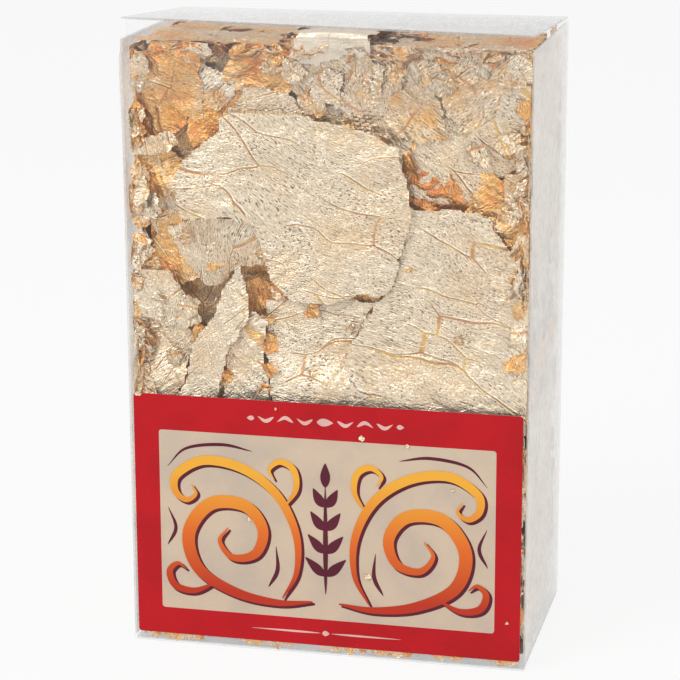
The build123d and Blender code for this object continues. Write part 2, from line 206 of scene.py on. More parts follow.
def leaf_finish(name, roughness, streaked=1.0, creased=1.0, painted_sheen=0.0):
    """Beaten metal with fine wrinkles along the sheet's grain and thin orange creases, its colour
    with painted dark reflections and glints, painted shade in creases and painted highlights by
    them.
    """
    material, surface = start_finish(name, {"Metallic": 0.75, "Roughness": roughness})
    grain = surface.node("UVMap", {"uv_map": "grain"})
    place = place_in_mm(surface)
    streaks = noise(surface, stretched(surface, grain, (1.7, 4.8, 1)), 1.0, 2.0)
    flecks = noise(surface, stretched(surface, grain, (2.4, 3.4, 1)), 1.0, 1.0)
    wrinkles = noise(surface, stretched(surface, grain, (0.3, 1.3, 1)), 1.0, 1.5)
    patches = noise(surface, place, 0.2, 3.0)
    fading = noise(surface, place, 0.13, 1.0)
    wander = surface.node(
        "TexNoise", {}, {"Vector": place, "Scale": 0.12, "Detail": 1.0}, output="Color"
    )
    # Crease lines: orange ones painted as the shade in each crease, with a painted highlight line
    # beside each, and cross lines painted as highlights
    long_lines = crease_field(surface, grain, wander, LONG_CELLS, (0, 0, 0))
    beside = crease_field(surface, grain, wander, LONG_CELLS, (0, 0.035, 0))
    cross_lines = crease_field(surface, grain, wander, CROSS_CELLS, (7, 3, 0))
    shown = fading.above(0.41, 0.52) * creased
    orange = long_lines.above(0.017, 0.004) * shown
    cross = cross_lines.above(0.011, 0.003) * fading.above(0.56, 0.47) * creased
    ridge = beside.above(0.018, 0.004) * shown * 0.6 + cross * 0.5
    warmth = surface.node("Attribute", {"attribute_name": "warmth"}, output="Fac")
    warmer = warmth + (patches - 0.5) * 0.42 + (flecks - 0.5) * 0.2
    tone = surface.node("ValToRGB", {"stops": LEAF_STOPS}, {0: warmer})
    pale = warmth.above(0.6, 0.15)
    # Painted dark reflections: dark specks and streaks in the wrinkles, strongest on pale leaf
    dark = streaks.above(0.46, 0.375) * (patches.above(0.62, 0.38) * 0.6 + 0.4) * (pale * 0.5 + 0.5)
    dark = dark.math("MAXIMUM", dark, wrinkles.above(0.36, 0.27) * 0.5)
    tone = (dark * 0.92 * streaked).tint(tone, PAINTED_DARK_REFLECTION)
    # Painted glints: light flecks in the wrinkles and highlight lines by the creases, and all the
    # sheet lighter by the painted sheen
    bright = flecks.above(0.57, 0.69) * 0.9 + wrinkles.above(0.61, 0.70) * 0.5 + ridge
    bright = bright * (pale * 0.75 + 0.25) * streaked
    bright = bright * (1 - painted_sheen) + painted_sheen
    tone = bright.math("MINIMUM", bright, 1).tint(tone, GLINT)
    # Painted shade in the creases, in two orange tones
    crease_shade = patches.above(0.4, 0.6).tint(DEEP_CREASE_SHADE, PALE_CREASE_SHADE)
    tone = (orange * 0.9).tint(tone, crease_shade)
    height = streaks + flecks * 0.6 + wrinkles * 1.4 + ridge * 0.5 - orange * 0.5
    bump = surface.node(
        "Bump", {}, {"Strength": 0.8 * streaked, "Distance": 0.0002, "Height": height}
    )
    feed(surface, Base_Color=tone, Normal=bump)
    return material


leaf_gold = leaf_finish("gold leaf", 0.3)
leaf_inside = leaf_finish("gold leaf in the shade", 0.4)
# The crown's leaf: fewer wrinkles and creases, and all of it painted lighter, towards the glint
# colour, as a painted sheen
leaf_smooth = leaf_finish("smooth gold leaf", 0.34, streaked=0.45, creased=0.3, painted_sheen=0.45)


KNOTS = 64


def drift(u, v, size, seed):
    """A smooth random field over a sheet, -1 to 1, with features of that size in millimetres."""
    knots = np.random.default_rng(seed).uniform(-1, 1, (KNOTS, KNOTS))
    x, y = u / size, v / size
    i, j = np.floor(x).astype(int), np.floor(y).astype(int)
    s, t = x - i, y - j
    s, t = s * s * (3 - 2 * s), t * t * (3 - 2 * t)
    i, j, k, m = i % KNOTS, j % KNOTS, (i + 1) % KNOTS, (j + 1) % KNOTS
    low = (1 - s) * knots[i, j] + s * knots[k, j]
    high = (1 - s) * knots[i, m] + s * knots[k, m]
    return (1 - t) * low + t * high


# Spacing of the folds in a crushed sheet, in mm, and their share of its height
FOLD_SIZES = ((11.0, 0.42), (6.0, 0.28), (3.2, 0.18), (1.7, 0.12))


def crushed(u, v, seed, stretch=1.0):
    """Height of a crushed sheet, 0 to 1: straight folds of four sizes that fade in and out."""
    draw = random.Random(seed)
    height = 0
    for size, share in FOLD_SIZES:
        size *= stretch
        for _ in range(3):
            angle, phase = draw.uniform(0, math.pi), draw.random()
            across = u * math.cos(angle) + v * math.sin(angle)
            across = across + 0.5 * size * drift(u, v, 3 * size, draw.randrange(9999))
            fold = np.abs((across / size + phase) % 1 * 2 - 1)
            fade = np.clip(0.5 + 1.2 * drift(u, v, 2.2 * size, draw.randrange(9999)), 0, 1)
            height = height + share * (fold - 0.5) * fade
    return (height - height.min()) / max(np.ptp(height), 1e-6)


def vertex_places(piece):
    """Where a mesh's vertices lie, in metres."""
    places = np.empty(len(piece.data.vertices) * 3, np.float32)
    piece.data.vertices.foreach_get("co", places)
    return places.reshape(-1, 3).astype(float)


def set_places(piece, places):
    piece.data.vertices.foreach_set("co", places.astype(np.float32).ravel())
    piece.data.update()


def face_middles(piece):
    """Where a mesh's faces have their middles, in metres."""
    middles = np.empty(len(piece.data.polygons) * 3, np.float32)
    piece.data.polygons.foreach_get("center", middles)
    return middles.reshape(-1, 3).astype(float)


def thicken(piece, thickness, offset=0):
    """Gives a sheet its thickness: on both its sides, or with offset -1 behind its face."""
    bpy.context.view_layer.objects.active = piece
    shell = piece.modifiers.new("thickness", "SOLIDIFY")
    shell.thickness = thickness
    shell.offset = offset
    bpy.ops.object.modifier_apply(modifier=shell.name)


def join(pieces):
    """Joins all the other pieces to the first."""
    bpy.ops.object.select_all(action="DESELECT")
    for piece in pieces:
        piece.select_set(True)
    bpy.context.view_layer.objects.active = pieces[0]
    bpy.ops.object.join()


LEAF_THICKNESS = 0.04 * MM


def dress_leaf(piece, along, across, warmth, grain_turn, finish):
    """Gives a sheet its grain, its warmth of colour, its finish and its thickness."""
    mesh = piece.data
    turn = math.radians(grain_turn)
    mesh.uv_layers.new(name="grain")
    for old in [layer for layer in mesh.uv_layers if layer.name != "grain"]:
        mesh.uv_layers.remove(old)
    grain = mesh.uv_layers["grain"]
    corners = np.empty(len(mesh.loops), np.int32)
    mesh.loops.foreach_get("vertex_index", corners)
    u = along * math.cos(turn) + across * math.sin(turn)
    v = across * math.cos(turn) - along * math.sin(turn)
    u, v = u + 3 * drift(along, across, 13, 5), v + 3 * drift(along, across, 13, 6)
    grain.data.foreach_set("uv", np.column_stack((u, v))[corners].astype(np.float32).ravel())
    tint = mesh.attributes.new("warmth", "FLOAT", "POINT")
    tint.data.foreach_set("value", np.asarray(warmth, np.float32))
    mesh.materials.clear()
    mesh.materials.append(finish)
    thicken(piece, LEAF_THICKNESS)


# The room for leaf inside the carton, how far towards its corners torn edges go unchecked, and the
# part of the height between the tuck flaps, which swing in front of a plane at both ends
INSIDE_LOW = np.array((-31.95, -17.45, 1.0)) * MM
INSIDE_HIGH = np.array((31.95, 17.1, 99.05)) * MM
WALL_REACH = 29 * MM
FLAP_ENDS = (13.9 * MM, 88.4 * MM)
BEHIND_FLAPS = -15.75 * MM
SOFTNESS = 0.15 * MM


def kept_inside(places, give):
    """Places pressed that far back inside the carton, and at both ends behind the tuck flaps."""
    def past(distance):
        return SOFTNESS * np.logaddexp(0, distance / SOFTNESS)

    low, high = INSIDE_LOW + give, INSIDE_HIGH - give
    places = low + past(places - low)
    places = high - past(high - places)
    at_ends = (places[:, 2] < FLAP_ENDS[0]) | (places[:, 2] > FLAP_ENDS[1])
    behind = BEHIND_FLAPS + give
    places[at_ends, 1] = behind + past(places[at_ends, 1] - behind)
    return places


def new_grid(name, centre, turn, size_u, size_v, cell):
    """A flat grid of that cell size, in metres, placed and turned, its place in its mesh."""
    bpy.ops.object.select_all(action="DESELECT")
    bpy.ops.mesh.primitive_grid_add(
        x_subdivisions=max(2, round(size_u / cell)), y_subdivisions=max(2, round(size_v / cell)),
        size=1, location=centre, rotation=turn,
    )
    piece = bpy.context.object
    piece.name = piece.data.name = name
    piece.scale = (size_u, size_v, 1)
    bpy.ops.object.transform_apply(location=True, rotation=True, scale=True)
    return piece


def delete_faces(piece, unwanted, rounds=2):
    """Deletes the faces whose numbers are marked, and smooths the new edge that many times."""
    mesh = piece.data
    for kind in (mesh.vertices, mesh.edges):
        kind.foreach_set("select", np.zeros(len(kind), bool))
    mesh.polygons.foreach_set("select", unwanted)
    bpy.context.view_layer.objects.active = piece
    bpy.ops.object.mode_set(mode="EDIT")
    bpy.context.tool_settings.mesh_select_mode = (False, False, True)
    bpy.ops.mesh.delete(type="FACE")
    bpy.ops.mesh.select_all(action="DESELECT")
    bpy.ops.mesh.select_mode(type="VERT")
    bpy.ops.mesh.select_non_manifold(extend=False)
    if rounds:
        bpy.ops.mesh.vertices_smooth(factor=0.4, repeat=rounds)
    bpy.ops.object.mode_set(mode="OBJECT")


# Depth and length of the tears along an edge, in mm, and a step between their seeds
TEARS = ((0.9, 5.5, 1), (0.22, 1.3, 7), (0.14, 0.6, 5))


def torn_leaf(node, cell, warmth, outward, seed, fold_shade=0.12, swell=1.0):
    """A crushed sheet in a leaf solid's place and outline, with torn edges."""
    low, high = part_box(node)
    size, centre = high - low, (low + high) / 2
    thin = min(range(3), key=lambda axis: size[axis])
    flat_axes = [axis for axis in range(3) if axis != thin]
    turn = [(0, math.pi / 2, 0), (math.pi / 2, 0, 0), (0, 0, 0)][thin]
    spans = [(size.z, size.y), (size.x, size.z), (size.x, size.y)][thin]
    piece = new_grid(node + "_leaf", centre, turn, 1.08 * spans[0], 1.08 * spans[1], cell)
    solid = frame["nodes"][node].data
    tree = BVHTree.FromPolygons(
        [corner.co for corner in solid.vertices], [face.vertices[:] for face in solid.polygons]
    )
    middles = face_middles(piece)
    u, v = (middles[:, axis] / MM for axis in flat_axes)
    for axis, number in zip(flat_axes, (1, 2)):
        torn = sum(
            depth * drift(u, v, length, seed + step * number) for depth, length, step in TEARS
        )
        overlap = 0.07 * (middles[:, axis] - centre[axis])
        middles[:, axis] += torn * MM - overlap
        if axis != 2:
            past = np.clip(np.abs(middles[:, axis]) - WALL_REACH, 0, None)
            middles[:, axis] -= 0.6 * np.sign(middles[:, axis]) * past
    middles[:, thin] = low[thin] - MM
    ray = Vector([1.0 if axis == thin else 0.0 for axis in range(3)])
    missed = np.array([tree.ray_cast(Vector(place), ray)[0] is None for place in middles])
    delete_faces(piece, missed)
    places = vertex_places(piece)
    u, v = (places[:, axis] / MM for axis in flat_axes)
    height = crushed(u, v, seed)
    places[:, thin] = centre[thin] + outward * (height - 0.5) * size[thin] * swell
    set_places(piece, kept_inside(places, 0.02 * MM * (seed % 5)))
    # Painted shade: the low parts of the crushed sheet are coloured warmer and darker, on top of
    # its own warmth and a random drift in tone
    colour = warmth + fold_shade * (0.55 - height) + 0.16 * drift(u, v, 7, seed + 3)
    dress_leaf(piece, u, v, colour, (seed * 47) % 180, leaf_gold)
    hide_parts(node)
    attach(piece, "root")
    return piece


# Name and warmth, 0 pale to 1 dark
FRONT_LEAVES = (
    ("centre", 0.02), ("spear", 0.0), ("behind_label_left", 0.1), ("behind_label_right", 0.1),
    ("lower_right", 0.0), ("strip", 0.06), ("left_tongue", 0.05), ("upper_tongue", 0.08),
    ("lower_middle", 0.03), ("lower_left", 0.14), ("middle_left", 0.12), ("right_edge", 0.34),
    ("upper_middle", 0.06), ("upper_left", 0.10), ("left_strip", 0.08), ("upper_right", 0.08),
)
FILM_BACK = -17.5 * MM
for number, (name, warmth) in enumerate(FRONT_LEAVES):
    sheet = torn_leaf("front_leaf_" + name, 0.38 * MM, warmth, -1, 11 + number)
    # Those that run down behind the label come close to the film on the way, from 50 mm down
    if name in ("lower_right", "lower_middle", "lower_left", "behind_label_right"):
        places = vertex_places(sheet)
        near = np.clip((50 - places[:, 2] / MM) / 6, 0, 1)
        forward = 0.8 * (places[:, 1].mean() / MM + 17.0)
        places[:, 1] -= near * near * (3 - 2 * near) * forward * MM
        places[:, 1] = np.maximum(places[:, 1], FILM_BACK)
        set_places(sheet, places)

BACK_LEAVES = (
    ("upper_left", 0.05), ("upper_right", 0.12), ("middle_left", 0.2), ("middle_right", 0.04),
    ("lower_left", 0.08), ("lower_right", 0.12),
)
for number, (name, warmth) in enumerate(BACK_LEAVES):
    torn_leaf("back_leaf_" + name, 0.5 * MM, warmth, 1, 41 + number)

for number, (name, warmth) in enumerate((("upper", 0.1), ("middle", 0.2), ("lower", 0.08))):
    torn_leaf("left_leaf_" + name, 0.5 * MM, warmth, -1, 61 + number)
    torn_leaf("right_leaf_" + name, 0.5 * MM, warmth, 1, 71 + number)

for number, side in enumerate(("left", "right")):
    torn_leaf("top_leaf_" + side, 0.5 * MM, 0.32, 1, 81 + number, fold_shade=0.5, swell=2.4)
    torn_leaf("bottom_leaf_" + side, 0.5 * MM, 0.1, -1, 91 + number)


# --------------------------------------------------------------------------------------------------
# Leaf inside: crumpled sheets of beaten metal that fill the middle, one behind the other. Each is
# crushed by hand, and its edges are turned back over the next.
def inner_sheet(node, cell, warmth, seed):
    """A crushed sheet in a leaf solid's place, its edges turned towards the middle of the box."""
    low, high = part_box(node)
    size, centre = high - low, (low + high) / 2
    turned = size.y * 0.9
    piece = new_grid(
        node + "_sheet", centre, (math.pi / 2, 0, 0), size.x + 2 * turned, size.z + 2 * turned, cell
    )
    places = vertex_places(piece)
    u, v = places[:, 0] / MM, places[:, 2] / MM
    height = crushed(u, v, seed, 1.5)
    past_x = np.maximum(np.abs(places[:, 0] - centre.x) - size.x / 2, 0)
    past_z = np.maximum(np.abs(places[:, 2] - centre.z) - size.z / 2, 0)
    past = np.minimum(np.hypot(past_x, past_z), turned)
    back = 1 if centre.y < 0 else -1
    wave = size.y * 0.55 * (1 - past / turned)
    front = centre.y - back * size.y / 2
    places[:, 1] = front + back * (past + wave * height)
    pull = 0.5 * MM * height
    for axis, past_side, half in ((0, past_x, size.x / 2), (2, past_z, size.z / 2)):
        offset = places[:, axis] - centre[axis]
        places[:, axis] = centre[axis] + np.clip(offset, pull - half, half - pull)
    set_places(piece, places)
    # Painted shade: low parts of the sheet are coloured warmer and darker, on top of a random drift
    # in tone
    colour = warmth + 0.25 * (0.5 - height) + 0.22 * drift(u, v, 9, seed + 3)
    dress_leaf(piece, u, v, colour, (seed * 31) % 180, leaf_inside)
    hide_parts(node)
    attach(piece, "root")


# The sheets inside are coloured amber, warmer and darker than the leaf at the front, as painted
# shade
for number in range(7):
    inner_sheet("inner_leaf_" + str(number + 1), 0.7 * MM, 0.46, 101 + number)


# --------------------------------------------------------------------------------------------------
# Small leaf: bits that broke off the sheets and lie loose in the gaps between them, or cling to the
# film. Each is torn along a few straight lines, and crushed.
def loose_leaf(name, facing, bits, cell, inside=True):
    """One piece made of bits (centre in mm, radius, tilt, warmth, seed).

    They face along axis 1, 2 or 3, or against it where the number is negative.
    """
    outward = Vector((0, 0, 0))
    outward[abs(facing) - 1] = math.copysign(1, facing)
    turn = outward.to_track_quat("Z", "Y").to_matrix().to_4x4()
    sheets = []
    for centre, radius, tilt, warmth, seed in bits:
        draw = random.Random(seed)
        place = Vector(centre) * MM
        size = 2.3 * radius * MM
        piece = new_grid(name, (0, 0, 0), (0, 0, 0), size, size, min(cell, radius * MM / 4))
        u, v = face_middles(piece)[:, :2].T / MM
        outside = np.full(len(u), -9.0)
        first, sides = draw.uniform(0, 6.3), draw.randrange(4, 7)
        for n in range(sides):
            angle = first + 6.3 * (n + draw.uniform(-0.25, 0.25)) / sides
            reach = u * math.cos(angle) + v * math.sin(angle)
            outside = np.maximum(outside, reach - radius * draw.uniform(0.5, 1.0))
        torn = 0.1 * radius * drift(u, v, 0.22 * radius, seed)
        delete_faces(piece, outside + torn > 0)
        places = vertex_places(piece)
        u, v = places[:, 0] / MM, places[:, 1] / MM
        stretch = min(0.75, radius / 8)
        height = crushed(u + 40 * draw.random(), v + 40 * draw.random(), seed, stretch)
        places[:, 2] = (height - 0.5) * min(0.9, 0.28 * radius) * MM
        set_places(piece, places)
        face = Matrix.Rotation(draw.uniform(0, 6.3), 4, "Z")
        about = Vector((draw.uniform(-1, 1), draw.uniform(-1, 1), 0)).normalized()
        lean = Matrix.Rotation(tilt, 4, about)
        piece.data.transform(Matrix.Translation(place) @ turn @ lean @ face)
        if inside:
            set_places(piece, kept_inside(vertex_places(piece), draw.uniform(0, 0.3) * MM))
        # Painted shade: low parts of each bit are coloured warmer and darker, on top of a random
        # drift in tone
        colour = warmth + 0.2 * (0.55 - height) + 0.14 * drift(u, v, 3, seed)
        dress_leaf(piece, u, v, colour, draw.uniform(0, 180), leaf_gold)
        sheets.append(piece)
    join(sheets)
    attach(sheets[0], "root")
    return sheets[0]


BOX_WIDTH, BOX_HEIGHT = 65, 100

# Shares of the front's width and height, radius in mm, warmth: the leaf behind the gaps, coloured
# darker and warmer as painted shade
SHADED_BITS = (
    (0.06, 0.88, 6, 0.48), (0.06, 0.76, 7, 0.42), (0.15, 0.66, 8, 0.44), (0.31, 0.55, 7, 0.58),
    (0.48, 0.57, 8, 0.54), (0.94, 0.68, 8, 0.38), (0.76, 0.75, 8, 0.64), (0.07, 0.45, 7, 0.48),
    (0.12, 0.94, 7, 0.46), (0.30, 0.92, 8, 0.50), (0.25, 0.84, 7, 0.48), (0.62, 0.90, 8, 0.20),
    (0.42, 0.45, 8, 0.34), (0.62, 0.60, 6, 0.46), (0.22, 0.46, 7, 0.54), (0.67, 0.81, 6, 0.54),
    (0.18, 0.76, 6, 0.46), (0.85, 0.93, 7, 0.20), (0.97, 0.44, 5, 0.36), (0.90, 0.76, 6, 0.48),
    (0.02, 0.95, 4, 0.45), (0.98, 0.94, 4, 0.35), (0.99, 0.86, 4, 0.4), (0.02, 0.62, 4, 0.45),
    (0.28, 0.45, 5, 0.36), (0.36, 0.42, 5, 0.3), (0.55, 0.53, 5, 0.34), (0.61, 0.50, 5, 0.4),
    (0.38, 0.86, 6, 0.42), (0.70, 0.88, 6, 0.3), (0.50, 0.88, 6, 0.3),
)
loose_leaf("front_shaded_leaf", -2, [
    (((x - 0.5) * BOX_WIDTH, -14.4 - 0.3 * (n % 3), z * BOX_HEIGHT), radius, 0.07, warmth, 200 + n)
    for n, (x, z, radius, warmth) in enumerate(SHADED_BITS)
], 0.5 * MM)

# The same for the bright scraps pressed against the film
BRIGHT_BITS = (
    (0.04, 0.925, 2.2, 0.02), (0.185, 0.98, 2.3, 0.0), (0.05, 0.72, 3.0, 0.0),
    (0.03, 0.67, 2.4, 0.05), (0.05, 0.56, 3.0, 0.0), (0.10, 0.83, 2.0, 0.0),
    (0.19, 0.81, 1.8, 0.0), (0.11, 0.48, 2.2, 0.1), (0.33, 0.42, 2.4, 0.05),
    (0.29, 0.58, 1.6, 0.3), (0.98, 0.62, 2.0, 0.05), (0.95, 0.73, 1.6, 0.1),
    (0.63, 0.74, 1.6, 0.5), (0.46, 0.57, 1.8, 0.5), (0.38, 0.60, 1.6, 0.6),
    (0.22, 0.90, 2.4, 0.35), (0.42, 0.95, 2.6, 0.1), (0.78, 0.93, 2.4, 0.05),
    (0.55, 0.86, 2.0, 0.3), (0.93, 0.85, 2.2, 0.1), (0.50, 0.93, 3.2, 0.02),
    (0.60, 0.94, 3.0, 0.12), (0.46, 0.90, 3.0, 0.2), (0.56, 0.90, 3.2, 0.06),
    (0.66, 0.95, 2.6, 0.3), (0.36, 0.955, 2.4, 0.3), (0.86, 0.965, 2.4, 0.1),
    (0.95, 0.95, 2.6, 0.2), (0.24, 0.49, 2.2, 0.45), (0.245, 0.53, 2.0, 0.4),
    (0.25, 0.45, 2.0, 0.5), (0.345, 0.47, 2.2, 0.45), (0.35, 0.51, 2.0, 0.5),
    (0.34, 0.55, 1.8, 0.4), (0.345, 0.435, 1.8, 0.45),
)
# From this share of the height up, they lie behind the tuck flap
BEHIND_TOP_FLAP = 0.87
loose_leaf("front_bright_leaf", -2, [
    (((x - 0.5) * BOX_WIDTH,
      -15.9 - 0.22 * (n % 4) if z < BEHIND_TOP_FLAP else -15.2 - 0.2 * (n % 3),
      z * BOX_HEIGHT), radius, 0.30, warmth, 240 + n)
    for n, (x, z, radius, warmth) in enumerate(BRIGHT_BITS)
], 0.35 * MM)


def scattered(count, seed, low, high, sizes=(0.9, 2.4), tilts=(0.1, 0.7), warmths=(0.0, 0.55)):
    """Bits at random places in a box in millimetres, small and tilted, most of them pale."""
    draw = random.Random(seed)
    return [
        ([draw.uniform(low[axis], high[axis]) for axis in range(3)],
         draw.uniform(*sizes), draw.uniform(*tilts),
         warmths[0] + (warmths[1] - warmths[0]) * draw.random() ** 1.5, seed + n)
        for n in range(count)
    ]


def pressed_on_side(side, count, seed):
    """Bits pressed on a side wall, most of them in its two corners, where the flat sheets end."""
    bits = []
    near, far = sorted((side * 30.9, side * 31.7))
    for share, low, high in ((0.3, -17, -11), (0.3, 10, 17), (0.4, -11, 10)):
        bits += scattered(
            round(count * share), seed + low, (near, low, 3), (far, high, 97.5),
            (2.0, 6.0), (0.02, 0.3), (0.0, 0.6),
        )
    return bits


loose_leaf("front_scraps", -2, scattered(
    96, 300, (-30.5, -16.6, 3), (30.5, -14.4, 86), (0.9, 2.8), (0.1, 0.6)), 0.4 * MM)
loose_leaf("back_scraps", 2, scattered(
    110, 400, (-31, 15.4, 3), (31, 16.9, 97), (1.4, 5.6), (0.03, 0.35)
) + scattered(
    18, 440, (28, 15.4, 3), (31.4, 16.9, 97), (2.0, 5.0), (0.03, 0.4)
) + scattered(
    18, 470, (-31.4, 15.4, 3), (-28, 16.9, 97), (2.0, 5.0), (0.03, 0.4)
), 0.5 * MM)
loose_leaf("left_scraps", -1, pressed_on_side(-1, 110, 500), 0.5 * MM)
loose_leaf("right_scraps", 1, pressed_on_side(1, 110, 560), 0.5 * MM)
loose_leaf("left_corner_scraps", -2, scattered(
    60, 720, (-31.6, -16.9, 14), (-30.0, -15.6, 97), (1.3, 3.0), (0.1, 0.6)), 0.4 * MM)
loose_leaf("right_corner_scraps", -2, scattered(
    34, 780, (30.2, -16.9, 14), (31.6, -15.6, 97), (1.3, 3.0), (0.1, 0.6)), 0.4 * MM)
loose_leaf("top_edge_scraps", 3, scattered(
    64, 840, (-31, -15.4, 96.6), (31, -12.5, 98.6), (1.6, 3.8), (0.2, 1.0), (0.1, 0.65)), 0.4 * MM)
loose_leaf("top_scraps", 3, scattered(
    84, 620, (-31.4, -13, 97.5), (31.4, 14, 98.7), (1.5, 4.0), (0.1, 0.7), (0.1, 0.65)), 0.45 * MM)
loose_leaf("crown_scraps", 3, scattered(
    24, 860, (6.5, -14.8, 96.6), (15, 8, 98.9), (1.2, 3.4), (0.2, 1.1), (0.2, 0.6)
) + scattered(
    18, 900, (-13, -14.8, 96.6), (-4.5, 8, 98.9), (1.2, 3.4), (0.2, 1.1), (0.2, 0.6)
), 0.4 * MM)
loose_leaf("bottom_scraps", -3, scattered(20, 660, (-29, -13, 1.8), (29, 13, 2.4)), 0.5 * MM)

# Crumbs caught flat between the front panel and the bottom tuck flap, to be seen below the label
CRUMB_PLANE = -17.66
crumb_bits = []
for left, right, count in ((-31, -21, 28), (-15, -6, 24), (-1, 14, 44), (18, 22, 10), (27, 31, 9)):
    crumb_bits += scattered(
        count, 940 + left, (left, CRUMB_PLANE, 0.95), (right, CRUMB_PLANE, 1.5),
        (0.4, 0.9), (0.0, 0.0), (0.1, 0.7),
    )
crumbs = loose_leaf("bottom_edge_crumbs", -2, crumb_bits, 0.25 * MM, inside=False)
places = vertex_places(crumbs)
off_plane = places[:, 1] / MM - CRUMB_PLANE
places[:, 1] = (CRUMB_PLANE + 0.028 * np.tanh(off_plane / 0.2)) * MM
set_places(crumbs, places)


# --------------------------------------------------------------------------------------------------
# Leaf crown: a loose sheet of the same leaf that rises between the two dust flaps, folds back over
# them and holds the lid up. The line is its middle seen from the side, y and z in mm.
CROWN_LINE = (
    (-14.8, 91.3), (-14.9, 95.0), (-15.4, 98.5), (-15.5, 100.6), (-15.1, 101.1), (-12.0, 100.95),
    (-5.0, 100.5), (2.0, 100.1), (9.0, 99.7), (13.8, 99.3), (14.3, 98.5),
)
low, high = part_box("top_leaf_crown")
steps = [0.0]
for (y, z), (next_y, next_z) in zip(CROWN_LINE, CROWN_LINE[1:]):
    steps.append(steps[-1] + math.hypot(next_y - y, next_z - z))
width = high.x - low.x
crown = new_grid("top_leaf_crown_sheet", (0, 0, 0), (0, 0, 0), width, steps[-1] * MM, 0.38 * MM)
middles = face_middles(crown) / MM
u, v = middles[:, 0], middles[:, 1] + steps[-1] / 2
torn = 0.8 * drift(u, v, 2.5, 701) + 0.3 * drift(u, v, 0.8, 702)
past_side = np.abs(u) > width / MM / 2 - 0.6 + torn
below = v < 4.5 + 0.25 * np.abs(u) + 2 * torn
delete_faces(crown, past_side | below)
flat = vertex_places(crown)
u, v = flat[:, 0] / MM, flat[:, 1] / MM + steps[-1] / 2
height = crushed(u, v, 700)
crest = steps[3]
upright = np.clip((crest - v) / 1.5, 0, 1)
y = np.interp(v, steps, [place[0] for place in CROWN_LINE]) + 0.6 * (0.8 - height) * upright
z = np.interp(v, steps, [place[1] for place in CROWN_LINE]) - 0.5 * height * (1 - upright)
set_places(crown, np.column_stack(((low.x + high.x) / 2 + flat[:, 0], y * MM, z * MM)))
# Warmer towards its torn sides, and painted shade makes its low folds warmer and darker
edge = np.clip((np.abs(u) - width / MM / 2 + 1.4) / 1.4, 0, 1)
dress_leaf(crown, u, v, 0.02 + 0.45 * edge + 0.2 * (0.5 - height), 70, leaf_smooth)
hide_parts("top_leaf_crown")
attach(crown, "root")


# --------------------------------------------------------------------------------------------------
# Carton: clear film, creased and folded, its left side glued to the inside of the back. Seen square
# on it hardly shows, and at a slant it turns milky, a painted reflection of the room in both faces
# of every panel.
def film_finish(name, colour, least, slanted):
    """Film that covers what is behind it by least, and by slanted more where it is seen edge on.
    Its pale colour, shown so, is a painted reflection of the room, with painted sparkles.
    """
    material, surface = start_finish(name, {"Roughness": 0.1, "IOR": 1.5})
    slant = surface.node("LayerWeight", {}, {"Blend": 0.5}, output="Facing")
    place = place_in_mm(surface)
    haze = noise(surface, place, 0.09, 2.0) * 0.5 + 0.75
    # Painted sparkles: small spots of the film lighter, as glints
    sparkle_highlight = noise(surface, place, 1.3, 2.0).above(0.54, 0.64)
    duller = tuple(0.8 * channel for channel in colour)
    smears = noise(surface, place, 0.55, 5.0).above(0.6, 0.4) * 0.8
    uneven = smears.tint((*colour, 1), (*duller, 1))
    feed(
        surface, Alpha=(slant ** 3.0) * slanted * haze + least,
        Base_Color=sparkle_highlight.tint(uneven, (1, 0.98, 0.95, 1)),
    )
    return material


# The same clear film in four painted looks: warm white on the panels, darker grey on the lids,
# darker on the flaps inside as painted shade, and lilac where film lies over film, for the
# interference of two films
clear_film = film_finish("clear film", (0.97, 0.93, 0.87), 0.025, 0.95)
lid_film = film_finish("clear film of the lids", (0.58, 0.575, 0.565), 0.03, 1.0)
inner_film = film_finish("clear film inside", (0.79, 0.77, 0.74), 0.03, 0.15)
tuck_film = film_finish("clear film over film", (0.74, 0.63, 0.68), 0.035, 0.4)
# These solids are shown as they are, and the other ones of film are replaced below
for node, finish in (
    ("front_panel", clear_film), ("back_panel", clear_film), ("right_side_panel", clear_film),
    ("label_film", clear_film), ("bottom_lid", lid_film), ("bottom_tuck_flap", tuck_film),
):
    frame["nodes"][node].data.materials[0] = finish

# The leaf pushes the top of the left side out past its fold, most from 2.5 to 8 mm below the lid
side = new_grid("left_side_bulge", (0, 0, 0), (0, math.pi / 2, 0), 1, 1, 1 / 60)
low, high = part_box("left_side_panel")
places = vertex_places(side)
across, rise = 2 * places[:, 1], places[:, 2] + 0.5
height = (high.z - low.z) / MM * (1 - rise)
fade = np.clip(height / 2.5, 0, 1) * np.clip((34 - height) / 26, 0, 1)
bulge = 1.5 * MM * (1 - np.abs(across) ** 9) * fade
set_places(side, np.column_stack((
    (low.x + high.x) / 2 - bulge,
    (low.y + high.y) / 2 + across * (high.y - low.y) / 2,
    low.z + rise * (high.z - low.z),
)))
side.data.materials.append(clear_film)
thicken(side, high.x - low.x)
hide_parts("left_side_panel")
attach(side, "root")


def film_copy(node, name, finish):
    """A copy of a film solid, cut fine enough to bend, that takes its place, freed from its body.
    """
    bpy.ops.object.select_all(action="DESELECT")
    frame["nodes"][node].select_set(True)
    bpy.context.view_layer.objects.active = frame["nodes"][node]
    bpy.ops.object.duplicate()
    bpy.ops.object.parent_clear(type="CLEAR_KEEP_TRANSFORM")
    piece = bpy.context.object
    piece.name = piece.data.name = name
    bpy.ops.object.mode_set(mode="EDIT")
    bpy.ops.mesh.select_all(action="SELECT")
    bpy.ops.mesh.subdivide(number_cuts=6)
    bpy.ops.object.mode_set(mode="OBJECT")
    piece.data.materials.clear()
    piece.data.materials.append(finish)
    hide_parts(node)
    return piece


